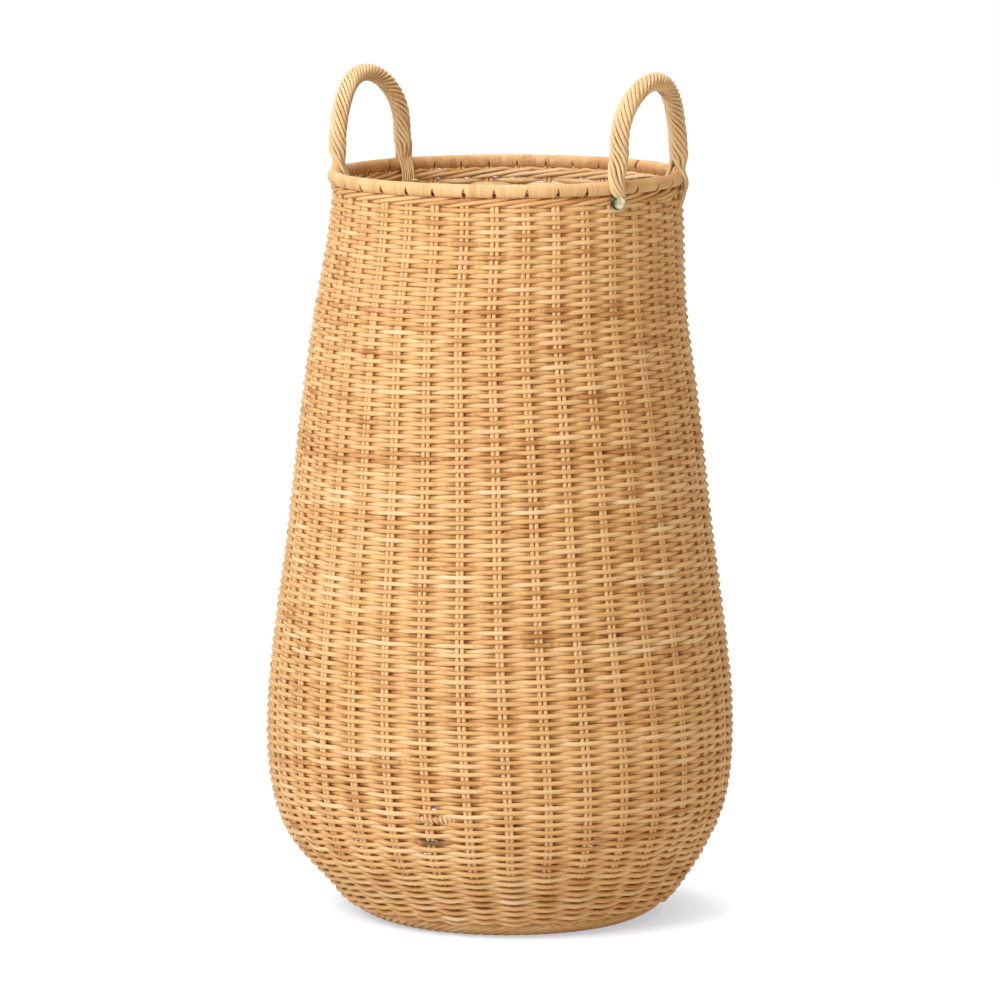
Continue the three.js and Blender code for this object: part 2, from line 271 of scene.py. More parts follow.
def splineThrough(x, y):
    # a natural cubic spline through the points y at x
    n, step = len(x), np.diff(x)
    slopes = (np.diff(y, axis=0).T / step).T
    grid, right = np.eye(n), np.zeros_like(y)
    for i in range(1, n - 1):
        grid[i, i - 1:i + 2] = step[i - 1], 2 * (step[i - 1] + step[i]), step[i]
        right[i] = 6 * (slopes[i] - slopes[i - 1])
    bend = np.linalg.solve(grid, right)

    def line(at):
        i = np.clip(np.searchsorted(x, at) - 1, 0, n - 2)
        shape = (-1,) + (1,) * (y.ndim - 1)
        a, b, h = (x[i + 1] - at).reshape(shape), (at - x[i]).reshape(shape), step[i].reshape(shape)
        curved = (bend[i] * a ** 3 + bend[i + 1] * b ** 3) / (6 * h)
        return curved + (y[i] / h - bend[i] * h / 6) * a + (y[i + 1] / h - bend[i + 1] * h / 6) * b

    return line


heights, outerRadii = np.array(wall["outline"], float).T * mm
neck = heights[-1]
levels = np.linspace(0, neck, 1200)
radii = splineThrough(heights, outerRadii)(levels)
flare = np.gradient(radii, levels)
arc = summed(np.hypot(np.diff(levels), np.diff(radii)))
wallLength = arc[-1]


def easedBetween(at, stations, values):
    i = np.clip(np.searchsorted(stations, at) - 1, 0, len(stations) - 2)
    share = eased((at - stations[i]) / (stations[i + 1] - stations[i]))
    return values[i] + (values[i + 1] - values[i]) * share


leanHeights, leanTurns = np.array(wall["stakeLean"], float).T
leans = splineThrough(leanHeights * mm, np.radians(leanTurns))(levels)


def stakeLean(height):
    return np.interp(height, levels, leans)


def leaned(points):
    stations, shifts = np.array(wall["lean"], float).T * mm
    return points + easedBetween(points[..., 2], stations, shifts)[..., None] * rightward


def upright(radius, angle, height):
    radius, angle, height = np.broadcast_arrays(radius, angle, height)
    return leaned(np.stack([radius * np.cos(angle), radius * np.sin(angle), height], -1))


def wallPoint(way, angle, depth):
    # way: up the wall from the foot; depth: inwards from the outer line, square to it
    height = np.interp(way, arc, levels)
    slope = np.interp(height, levels, flare)
    level = np.hypot(1, slope)
    radius = np.interp(height, levels, radii) - depth / level
    angle = angle + stakeLean(height)
    return upright(radius, angle, height + np.maximum(way - wallLength, 0) + depth * slope / level)


def wallNormal(way, angle):
    height = np.interp(way, arc, levels)
    slope, angle = np.broadcast_arrays(np.interp(height, levels, flare), angle + stakeLean(height))
    return unit(np.stack([np.cos(angle), np.sin(angle), -slope], -1))


def aboveFoot(way):
    # 0 on the foot's tight rows, 1 on the open rows above them
    low, high = wall["footTop"]
    return eased((way - low) / (high - low))


# Canes: a straight or a round tube, repeated, and each copy laid along its own route

tubeReach = 4  # of a round tube, before it is laid
fibreShift, fibreRepeat = 0.377, 5.0  # in metres: no two neighbours show the same stretch of fibre


def tubeTemplate(rings, sides, closed):
    form = bmesh.new()
    bmesh.ops.create_circle(form, segments=sides, radius=1)
    if closed:
        bmesh.ops.rotate(form, verts=form.verts, matrix=Matrix.Rotation(-math.pi / 2, 3, "X"))
        bmesh.ops.translate(form, verts=form.verts, vec=(tubeReach, 0, 0))
    section = form.verts[:] + form.edges[:]
    if closed:
        bmesh.ops.spin(form, geom=section, axis=(0, 0, 1), angle=turn, steps=rings, use_merge=True)
    else:
        bmesh.ops.spin(form, geom=section, axis=(0, 0, 1), dvec=(0, 0, 1), angle=0, steps=rings - 1)
        bmesh.ops.holes_fill(form, edges=[edge for edge in form.edges if edge.is_boundary], sides=sides)
    bmesh.ops.recalc_face_normals(form, faces=form.faces)
    for vert in form.verts:  # every vertex now holds its own ring and side number
        x, y, z = vert.co
        across, ring = x, round(z)
        if closed:
            across, ring = math.hypot(x, y) - tubeReach, round(math.atan2(y, x) / turn * rings)
        side = round(math.atan2(-z if closed else y, across) / turn * sides)
        vert.co = (ring % rings, side % sides, 0)
    layer = form.loops.layers.uv.new("UVMap")
    for face in form.faces:
        face.smooth = len(face.verts) == 4
        lastRing, lastSide = (max(vert.co[i] for vert in face.verts) for i in (0, 1))
        for loop in face.loops:
            ring, side = loop.vert.co.xy
            ring += rings if closed and lastRing - ring > rings / 2 else 0
            side += sides if lastSide - side > sides / 2 else 0
            loop[layer].uv = (ring, side)
    return meshOf(form, "tube")


def repeated(mesh, copies):
    holder = placed("holder", mesh)
    array = holder.modifiers.new("copies", "ARRAY")
    array.count, array.use_relative_offset, array.use_constant_offset = copies, False, True
    array.constant_offset_displace = (0, 0, 1)
    evaluated = holder.evaluated_get(bpy.context.evaluated_depsgraph_get())
    made = bpy.data.meshes.new_from_object(evaluated)
    bpy.data.objects.remove(holder)
    bpy.data.meshes.remove(mesh)
    return made


def framesAlong(routes, closed, outward):
    if closed:
        ahead = unit(np.roll(routes, -1, 1) - np.roll(routes, 1, 1))
    else:
        ahead = unit(np.gradient(routes, axis=1))
    if outward is None:  # carry one side vector along each route without twist
        side, carried = np.cross(ahead[:, 0], [0.31, 0.52, 0.79]), []
        for ring in range(routes.shape[1]):
            side = unit(side - (side * ahead[:, ring]).sum(-1, keepdims=True) * ahead[:, ring])
            carried.append(side)
        outer = np.stack(carried, 1)
    else:
        outer = unit(outward - (outward * ahead).sum(-1, keepdims=True) * ahead)
    return outer, np.cross(ahead, outer)


def layCanes(name, routes, radius, closed=False, sides=8, outward=None, tones=0.5, flatness=1.0):
    # routes: canes x rings x 3; radius and tones fit canes x rings x sides, and the tones hold each cane's
    # own tone with painted shade and light; flatness fits canes x rings
    copies, rings = routes.shape[:2]
    mesh = repeated(tubeTemplate(rings, sides, closed), copies)
    marks = np.empty(len(mesh.vertices) * 3, np.float32)
    mesh.vertices.foreach_get("co", marks)
    ring, side, copy = marks.reshape(-1, 3).T.round().astype(int)
    outer, beside = framesAlong(routes, closed, outward)
    radius = np.broadcast_to(radius, (copies, rings, sides))[copy, ring, side][:, None]
    flatness = np.broadcast_to(flatness, (copies, rings))[copy, ring][:, None]
    angle = (side * turn / sides + math.pi)[:, None]
    spread = np.cos(angle) * flatness * outer[copy, ring] + np.sin(angle) * beside[copy, ring]
    mesh.vertices.foreach_set("co", (routes[copy, ring] + radius * spread).ravel())
    steps = np.linalg.norm(np.diff(np.concatenate([routes, routes[:, :1]], 1), axis=1), axis=-1)
    lengths = np.concatenate([np.zeros((copies, 1)), np.cumsum(steps, 1)], 1)
    layer = mesh.uv_layers["UVMap"]
    places = np.empty(len(layer.uv) * 2, np.float32)
    corners = np.empty(len(mesh.loops), np.int32)
    layer.uv.foreach_get("vector", places)
    mesh.loops.foreach_get("vertex_index", corners)
    places = places.reshape(-1, 2)
    owner = copy[corners]
    start = (owner * fibreShift) % fibreRepeat
    reached = lengths[owner, places[:, 0].round().astype(int)]
    places = np.stack([reached + start, places[:, 1] / sides], 1)
    layer.uv.foreach_set("vector", places.astype(np.float32).ravel())
    # the tone carries each cane's own tone and the painted shade and light laid on it
    toneAndPaintedLight = mesh.attributes.new("toneAndPaintedLight", "FLOAT", "POINT")
    tones = np.broadcast_to(tones, (copies, rings, sides))[copy, ring, side]
    toneAndPaintedLight.data.foreach_set("value", tones.astype(np.float32))
    mesh.update()
    mesh.name = name
    return placed(name, mesh)


def sideFacing(sides):
    # 1 on the side of a cane that faces outwards, -1 on the side that faces inwards
    return np.cos(anglesRound(sides) + math.pi)


def finishPiece(piece, material, nodes):
    piece.data.materials.clear()
    piece.data.materials.append(material)
    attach(piece, "root")
    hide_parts(*nodes)


def roundBlend(values, rings):
    # eases from one pair's value to the next, all the way round; values: rows x pairs
    pairs = values.shape[1]
    place = np.arange(rings) * pairs / rings
    low = np.floor(place).astype(int)
    share = eased(place - low)
    return values[:, low % pairs] * (1 - share) + values[:, (low + 1) % pairs] * share


def spreadValues(random, middle, caneSpread, pairSpread, canes, rings):
    # a value for each cane, which also changes a little from pair to pair
    values = random.normal(middle, caneSpread, (canes, 1))
    return values + roundBlend(random.normal(0, pairSpread, (canes, wall["pairs"])), rings)


def slowWaves(random, rows, rings, wavesUp, wavesRound, size):
    # a few long waves over the whole wall, the same for neighbouring rows
    up, across = np.arange(rows)[:, None] / rows, np.arange(rings)[None] / rings
    field, waves = np.zeros((rows, rings)), 7
    for _ in range(waves):
        rising, circling = random.uniform(-wavesUp, wavesUp), random.integers(1, wavesRound + 1)
        field += np.sin(turn * (rising * up + circling * across + random.random()))
    return field * size / waves ** 0.5


# Siding: rows of round weavers, over one pair of stakes and under the next

weave = {
    "pitch": 3.4 * mm,
    "start": 22.1 * mm,  # up the wall
    "stepsPerPair": 8,
    "straightness": 0.8,  # of a weaver's way from one pair to the next
    "flatness": (0.95, 0.82),  # of a cane's section, square to the wall, at the foot and above it
    "squeeze": 1.12,  # radius where the rows cross, next to their radius over the stakes
    "footSqueeze": 0.9,
    "behind": 1.25,  # and behind the stakes
    "footGirth": 0.16,  # how much thicker they are at the foot
    "wander": 0.24 * mm,
    "footPitch": 1.05,  # next to the pitch above the foot
    "sway": 0.9 * mm,  # long waves shared by neighbouring rows
    "tilt": [(0, 0), (250, 1.5), (480, 4.5), (560, 1.0), (620, 0)],  # height and rise to the right, in mm
    "girths": (1, 0.025, 0.045),  # the middle, the spread of the rows, and that from pair to pair
    "swingSpread": 0.04,
    "tones": (0.55, 0.10, 0.18),
    # painted shade along a cane's edges, where it meets the rows above and below
    "edgeShade": 0.26,
    "edgeShare": 0.15,  # of the painted shade along the edges, where the rows cross
    # painted shade where a cane goes in behind a pair
    "tuckShade": 0.72,
    "tuckFrom": (0.6, 0.3),  # how far behind a pair the painted shade begins, and over how much it grows
    "tuckShare": (0.62, 0.38, 0.4),  # of that painted shade: outside, what the two sides differ from it (darker on the right of a pair, where its shadow falls), and inside
    "insidePaintedLight": 0.42,  # painted light: the inside of the wall is painted paler
    "openings": 9,  # spots where two rows part
    "parting": 0.5 * mm,
    "rowsInPiece": 48,
    "seed": 11,
}
mend = {
    "over": 28,  # the pair that the mended row passes
    "span": (27.67, 28.66),  # in pairs, round the wall
    "way": 131.5 * mm,  # up the wall
    "turns": 9, "stepsPerTurn": 10,
    "caneRadius": 0.72 * mm,
    "toneAndPaintedLight": 1.15,
    "gloom": 0.45,  # the row is darker between the turns
}
waling = {
    "height": 10.2 * mm,
    "above": 1.9 * mm,  # of its top, above the wall's
    "canes": 4, "caneRadius": 1.75 * mm, "stepsPerPair": 8,
    "unevenness": 0.25 * mm,
    "tones": (0.52, 0.08, 0.13),
    "seed": 12,
}
walingFloor = wallLength + waling["above"] - waling["height"]


def tonesWithPaintedShadeAndLight(tones, beat):
    # painted shade: a cane is painted darker along its edges, and darkest where it goes in behind a pair;
    # painted light makes its inner side paler
    facing, beat = sideFacing(8), beat[..., None]
    rising = np.sign(np.roll(beat, -1, 1) - np.roll(beat, 1, 1))  # 1 to the right of that pair, where its shadow falls
    begin, grown = weave["tuckFrom"]
    outside, sided, inside = weave["tuckShare"]
    tucked = np.clip((-beat * facing - begin) / grown, 0, 1)
    tucked = tucked * np.where(facing > 0, outside + sided * rising, inside)
    least = weave["edgeShare"]
    edges = (1 - np.abs(facing)) * (least + (1 - least) * beat ** 2)
    tones = tones[..., None] - weave["edgeShade"] * edges - weave["tuckShade"] * tucked
    return tones + weave["insidePaintedLight"] * (facing < -0.3)


def whipRow(routes, way, thick, normals, tones):
    # a thin cane wound round one row, low on the front
    ring = np.arange(routes.shape[1])
    rows = np.arange(mend["over"] % 2, len(way), 2)  # those that pass outside this pair
    row = rows[np.abs(way[rows, mend["over"] * weave["stepsPerPair"]] - mend["way"]).argmin()]
    place = np.linspace(*mend["span"], mend["turns"] * mend["stepsPerTurn"]) * weave["stepsPerPair"]

    def between(line):
        return np.stack([np.interp(place, ring, line[row, :, axis]) for axis in range(3)], -1)

    middle = between(routes)
    outer, beside = (side[0] for side in framesAlong(middle[None], False, between(normals)[None]))
    spin = np.linspace(0, turn * mend["turns"], len(place))[:, None]
    girth = (np.interp(place, ring, thick[row]) + mend["caneRadius"] * 0.5)[:, None]
    wound = middle + girth * (np.cos(spin) * outer + np.sin(spin) * beside)
    tones[row, int(place[0]):int(place[-1]) + 2] -= mend["gloom"]
    piece = layCanes("whipped_mend", wound[None], mend["caneRadius"], False, 6, None, mend["toneAndPaintedLight"])
    finishPiece(piece, weaverCane, ["siding_weave"])


def makeSiding():
    random = np.random.default_rng(weave["seed"])
    pairs = wall["pairs"]
    rings = pairs * weave["stepsPerPair"]
    span = walingFloor - weave["pitch"] * 0.35 - weave["start"]
    rows = round(span / weave["pitch"]) + 1
    spacing = 1 + 0.03 * np.sin(np.arange(rows - 1) * 0.21) + random.normal(0, 0.02, rows - 1)
    plain = weave["start"] + np.arange(rows - 1) * weave["pitch"]
    spacing *= weave["footPitch"] + (1 - weave["footPitch"]) * aboveFoot(plain)
    base = weave["start"] + summed(spacing) * span / spacing.sum()
    angle = anglesRound(rings)
    wander = random.normal(0, weave["wander"], (rows, pairs))
    for _ in range(weave["openings"]):
        row, pair = random.integers(rows - 1), random.integers(pairs)
        wander[row, pair] -= weave["parting"]
        wander[row + 1, pair] += weave["parting"]
    stations, tilts = np.array(weave["tilt"], float).T * mm
    tilt = easedBetween(np.interp(base, arc, levels), stations, tilts)[:, None]
    way = base[:, None] + roundBlend(wander, rings) + tilt * np.cos(angle - azimuth)
    calmed = np.clip((wallLength - base) / (100 * mm), 0, 1)[:, None]  # towards the rim
    way += slowWaves(random, rows, rings, 3, 4, weave["sway"]) * calmed
    beat = np.cos(angle * pairs / 2) * (-1.0) ** np.arange(rows)[:, None]
    straightness, footSwing = weave["straightness"], wall["footSwing"]
    swing = np.arcsin(straightness * beat) / math.asin(straightness) * wall["swing"]
    swing *= 1 + roundBlend(random.normal(0, weave["swingSpread"], (rows, pairs)), rings)
    swing *= footSwing + (1 - footSwing) * aboveFoot(way)
    routes = wallPoint(way, angle, wall["weaveDepth"] - swing)
    thick = wall["caneRadius"] * spreadValues(random, *weave["girths"], rows, rings)
    squeeze = weave["footSqueeze"] + (weave["squeeze"] - weave["footSqueeze"]) * aboveFoot(way)
    thick *= squeeze + (np.where(beat > 0, 1, weave["behind"]) - squeeze) * beat ** 2
    thick *= 1 + weave["footGirth"] * (1 - aboveFoot(way))
    tones = tonesWithPaintedShadeAndLight(spreadValues(random, *weave["tones"], rows, rings), beat)
    low, high = weave["flatness"]
    flatness = low + (high - low) * aboveFoot(way)
    normals = wallNormal(way, angle)
    whipRow(routes, way, thick, normals, tones)
    for number, first in enumerate(range(0, rows, weave["rowsInPiece"])):
        part = slice(first, first + weave["rowsInPiece"])
        piece = layCanes(f"siding_rows_{number + 1}", routes[part], thick[part][..., None],
                         True, 8, normals[part], tones[part], flatness[part])
        nodes = ["foot_waling", "siding_weave"] if number == 0 else ["siding_weave"]
        finishPiece(piece, weaverCane, nodes)
    print(rows, "rows of siding woven")


# Top waling: four canes, each over two pairs and in behind the next two, rising as they go out


def makeTopWaling():
    random = np.random.default_rng(waling["seed"])
    canes, pairs = waling["canes"], wall["pairs"]
    rings = pairs * waling["stepsPerPair"]
    angle = anglesRound(rings)
    stroke = (angle / pairStep + 0.5 + np.arange(canes)[:, None]) % canes
    outside = stroke < 2
    part = np.where(outside, stroke, stroke - 2) / 2
    swing = np.sin(math.pi * part).clip(0) ** 0.6 * np.where(outside, 1, -1)
    climb = np.where(outside, part - 0.5, 0.5 - part)
    middle = walingFloor + waling["height"] / 2
    uneven = roundBlend(random.normal(0, waling["unevenness"], (canes, pairs)), rings)
    way = middle + climb * (waling["height"] - 2 * waling["caneRadius"]) + uneven
    routes = wallPoint(way, angle, wall["weaveDepth"] - swing * wall["swing"])
    tones = tonesWithPaintedShadeAndLight(spreadValues(random, *waling["tones"], canes, rings), swing)
    normals = wallNormal(way, angle)
    piece = layCanes("top_waling_canes", routes, waling["caneRadius"], True, 8, normals, tones)
    finishPiece(piece, weaverCane, ["top_waling"])
    print("top waling laid")


# Stakes: thirty-six pairs of round canes, from the foot border up into the rim

stakes = {
    "radius": 1.85 * mm, "spacing": 3.82 * mm,
    "foot": 7 * mm, "intoRim": 8 * mm, "rings": 110,
    "wobble": 0.35 * mm,
    "wobbleWaves": (8, 45),  # in radians to the metre
    "spreadWaves": (15, 50),
    "spread": 0.05,  # of the spacing, that comes and goes
    "tones": (-0.1, 0.68),  # at the foot and above it: painted shade at the foot, where the stakes lie deep in the slits, and painted light above, against the shade of the rows over them
    "toneSpread": 0.08,
    # painted shade along the sides of each stake
    "edgeShade": 0.34,
    "seed": 21,
}


def makeStakes():
    random = np.random.default_rng(stakes["seed"])
    way = np.linspace(stakes["foot"], wallLength + stakes["intoRim"], stakes["rings"])
    radius = np.interp(np.interp(way, arc, levels), levels, radii)

    def wave(lengths):
        return np.sin(way * random.uniform(*lengths) + random.uniform(0, turn))

    for pair in range(wall["pairs"]):
        wobble = sum(wave(stakes["wobbleWaves"]) for _ in range(3)) * stakes["wobble"] / 3
        spread = stakes["spacing"] * (0.5 + stakes["spread"] * wave(stakes["spreadWaves"]))
        angle = pair * pairStep + (wobble + np.array([[-1], [1]]) * spread) / radius
        depth = wall["stakeDepth"] + wall["stakeSunk"] * (1 - aboveFoot(way))
        routes = wallPoint(way, angle, depth)
        low, high = stakes["tones"]
        tones = random.normal(0, stakes["toneSpread"], (2, 1, 1))
        # painted shade at the foot and painted light above it
        tones = tones + (low + (high - low) * aboveFoot(way))[:, None]
        # painted shade along the sides of each stake
        tones = tones - stakes["edgeShade"] * (1 - np.abs(sideFacing(8)))
        number, normals = f"{pair + 1:02d}", wallNormal(way, angle)
        piece = layCanes(f"stake_canes_{number}", routes, stakes["radius"], False, 8, normals, tones)
        finishPiece(piece, stakeCane, [f"stake_pair_{number}"])
    print("stakes set up")


# Rim: two hoops under a flat cane binding, which parts round every pair of stakes

rim = {
    "radius": 137.6 * mm, "section": 5.4 * mm,
    "rings": 1800, "sides": 28,
    "wrapWidth": (3.2, 8.5),  # in mm
    "seam": 0.22 * mm,
    "seamWidth": 0.45,  # in mm, on each side of its middle
    "seamShade": 0.5,  # painted shade in the seams, to the mm that they are deep
    "uneven": 0.07 * mm,
    "slitDepth": 4.2 * mm,
    "slitWidth": 1.15 * mm,  # at the bottom, on each side of its middle
    "slitInside": (0.3, 0.4),  # its reach and its depth on the inner side, next to the outer
    "slitShift": (0.5 * mm, 0.4 * mm),  # off the middle of its pair, and the spread of that
    "slitGloom": 0.35,  # below 1 the painted shade reaches a little past the slit
    "notch": math.radians(68.9),  # where two turns of the binding stand apart at the back
    "notchWidth": 0.8 * mm,
    "tones": (0.5, 0.08),
    "innerShade": 0.34,  # painted shade: the side towards the middle is painted darker
    "hoopRadius": 2.04 * mm, "hoopShift": 1.5 * mm,
    "seed": 31,
}
rimMiddle = neck + rim["section"]


def makeRim():
    random = np.random.default_rng(rim["seed"])
    rings, sides = rim["rings"], rim["sides"]
    angle = anglesRound(rings)
    along = angle * rim["radius"] / mm
    edges, last = [0.0], turn * rim["radius"] / mm
    while edges[-1] < last:
        edges.append(edges[-1] + random.uniform(*rim["wrapWidth"]))
    edges = np.array(edges) * last / edges[-1]
    wrap = np.searchsorted(edges, along, side="right") - 1
    nearest = np.minimum(along - edges[wrap], edges[wrap + 1] - along)
    seam = np.exp(-(nearest / rim["seamWidth"]) ** 2) * rim["seam"] * random.uniform(0.3, 1, len(edges))[wrap]
    swell = random.normal(0, rim["uneven"], len(edges))[wrap]
    facing = sideFacing(sides)
    drop = np.sin(anglesRound(sides) + math.pi)  # 1 underneath, -1 on top
    insideReach, insideDepth = rim["slitInside"]
    reach = np.clip(drop + 0.25, 0, 1) * np.where(facing > 0.2, 1, insideReach) * (np.abs(facing) > 0.2)
    offsets = random.normal(*rim["slitShift"], (wall["pairs"], 1))
    pairAt = np.arange(wall["pairs"])[:, None] * pairStep + stakeLean(neck) + offsets / rim["radius"]
    gap = np.abs((angle - pairAt + math.pi) % turn - math.pi).min(0) * rim["radius"]
    widths = rim["slitWidth"] * (0.2 + 0.8 * reach)
    slit = np.exp(-(gap[:, None] / widths) ** 4) * np.clip(reach * 5, 0, 1)
    slit *= np.where(facing > 0, 1, insideDepth)
    notch = np.exp(-((angle - rim["notch"]) * rim["radius"] / rim["notchWidth"]) ** 4)[:, None]
    slit = np.maximum(slit, notch * ((facing < 0.4) & (drop < 0.35)))
    radius = rim["section"] - seam[:, None] + swell[:, None] - slit * rim["slitDepth"]
    routes = upright(rim["radius"], angle, rimMiddle)[None]
    outward = np.stack([np.cos(angle), np.sin(angle), np.zeros(rings)], -1)[None]
    tones = random.normal(*rim["tones"], len(edges))[wrap][:, None]
    tones = tones - rim["innerShade"] * (0.5 - 0.5 * facing) ** 2
    # painted shade in the slits and the notch, and in the seams
    dark = slit ** rim["slitGloom"]
    tones = tones * (1 - dark) - dark - seam[:, None] / mm * rim["seamShade"]
    piece = layCanes("rim_binding_cane", routes, radius[None], True, sides, outward, tones[None])
    finishPiece(piece, bindingCane, ["rim_binding"])
    hoops = upright(rim["radius"] + np.array([[-1], [1]]) * rim["hoopShift"], angle[::10], rimMiddle)
    piece = layCanes("rim_hoops", hoops, rim["hoopRadius"], True, 8, None, 0.4)
    finishPiece(piece, stakeCane, ["rim_hoop_outer", "rim_hoop_inner"])
    print("rim bound")


# Handles: nine canes twisted round a bow, parted over the rim and tucked into the wall

handle = {
    "legTurn": math.radians(20),  # from the handle's middle to each leg, round the rim
    "foot": 606 * mm, "spring": 622 * mm, "rise": 49 * mm,  # of the rope's ends and of the arch
    "canes": 9, "caneRadius": 1.56 * mm,
    "twistRadius": {"right": 6.0 * mm, "left": 5.6 * mm},
    "twist": (0.102 / mm, 0.15 / mm),  # on the legs and at the top, in radians to the metre
    "coreRadius": 3.9 * mm, "coreFoot": 556 * mm, "coreSunk": 3.5 * mm,
    "rings": 240,
    "innerTail": 26 * mm,
    "tones": (0.55, 0.1),
    "taperAt": [0, 0.09, 0.14, 0.86, 0.91, 1],  # along a cane: thin, thinning, full, thinning, thin
    "seed": 41,
}
# for each leg: its side of the middle, the canes that go outside, how far it stands outwards (push)
# and round the rim (slide, and sway at its foot alone), and its tails
legs = {
    "right": [
        {"side": -1, "outsiders": 9, "push": 2.5 * mm, "slide": 0.0, "sway": -4.8 * mm,
         "spacing": 0.0, "drop": 0.0, "inwards": 0.0, "taper": 0.92},  # ends at the stud
        {"side": 1, "outsiders": 6, "push": 1.5 * mm, "slide": 0.0, "sway": 0.0,
         "spacing": 1.9 * mm, "drop": 12 * mm, "inwards": 3 * mm, "taper": 0.85},
    ],
    "left": [
        {"side": -1, "outsiders": 3, "push": -3.0 * mm, "slide": -2.9 * mm, "sway": 0.0,
         "spacing": 2.1 * mm, "drop": 12 * mm, "inwards": 0.0, "taper": 0.46},
        {"side": 1, "outsiders": 2, "push": 0.3 * mm, "slide": 0.0, "sway": 0.0,
         "spacing": 1.9 * mm, "drop": 8 * mm, "inwards": 0.0, "taper": 0.7},
    ],
}
# of a handle's top, to the camera's right and up
apexShift = {"right": (-3.3 * mm, 2.4 * mm), "left": (4.0 * mm, 0.0)}
handleMiddle = {"right": 0.0, "left": math.pi}


def handlePath(middle, low, count):
    bow, straight = handle["legTurn"], 30
    rising = np.linspace(0, 1, straight, endpoint=False)
    over = np.linspace(0, math.pi, straight * 2)
    lift = low + (handle["spring"] - low) * rising
    legSteps = np.full(straight, bow)
    angle = np.concatenate([-legSteps, -bow * np.cos(over), legSteps])
    height = np.concatenate([lift, handle["spring"] + handle["rise"] * np.sin(over), lift[::-1]])
    length = summed(np.hypot(np.diff(angle) * rim["radius"], np.diff(height)))
    even = np.linspace(0, length[-1], count)
    angle, height = np.interp(even, length, angle) + middle, np.interp(even, length, height)
    share = np.clip((height - handle["spring"]) / handle["rise"], 0, 1)  # 0 on the legs, 1 at the top
    return angle, height, share, even


def tailStops(outside, place, sideways, start, leg):
    # radial place from the rim's middle, sideways place and height, from the rope's foot to the tuck
    hug, shoulder = rim["section"] + handle["caneRadius"] * 0.85, 0.7
    way = 1 if outside else -1
    drop = leg["drop"] if outside else handle["innerTail"]
    inwards = place % 2 * 3 * mm if outside else leg["inwards"]
    face = 4.6 * mm if outside else -6.3 * mm - handle["caneRadius"]
    over = way * hug * math.sin(shoulder) - inwards
    return [
        (over, sideways * 0.75 + start * 0.25, rimMiddle + hug * math.cos(shoulder)),
        (way * hug - inwards, sideways, rimMiddle - 1 * mm),
        (face, sideways, neck - drop * 0.6),
        (way * 1.0 * mm, sideways, neck - drop - 5 * mm),
    ]


def wrappedStops(phase, step):
    # the twist goes on over the rim, flatter and narrower, down to the stud
    radial = np.array([6.3, 7.6, 6.0, 1.4]) * mm
    middle = np.array([-8.1, -8.4, -4.3, -1.6]) * mm
    sideways = np.array([6.0, 5.6, 3.6, 2.0]) * mm
    layer = np.array([3.4, 2.2, 1.4, 0.9]) * mm
    heights = rimMiddle + np.array([6.5, 0.0, -7.0, -12.5]) * mm
    turned = phase + step * (handle["foot"] - heights)
    return list(zip(radial + layer * np.cos(turned), middle + sideways * np.sin(turned), heights))


def legShift(name, height, share):
    # how far the rope stands off the plain arch at each leg: outwards, and round the rim
    spring = handle["spring"]
    footShare = np.clip((spring - height) / (spring - handle["foot"]), 0, 1) ** 1.5
    side = np.where(np.arange(len(height)) < len(height) / 2, 0, 1)
    shifts = (np.array([leg[key] for leg in legs[name]]) for key in ("push", "slide", "sway"))
    push, slide, sway = (shift[side] for shift in shifts)
    return np.stack([push * footShare, slide * (1 - share) + sway * footShare])


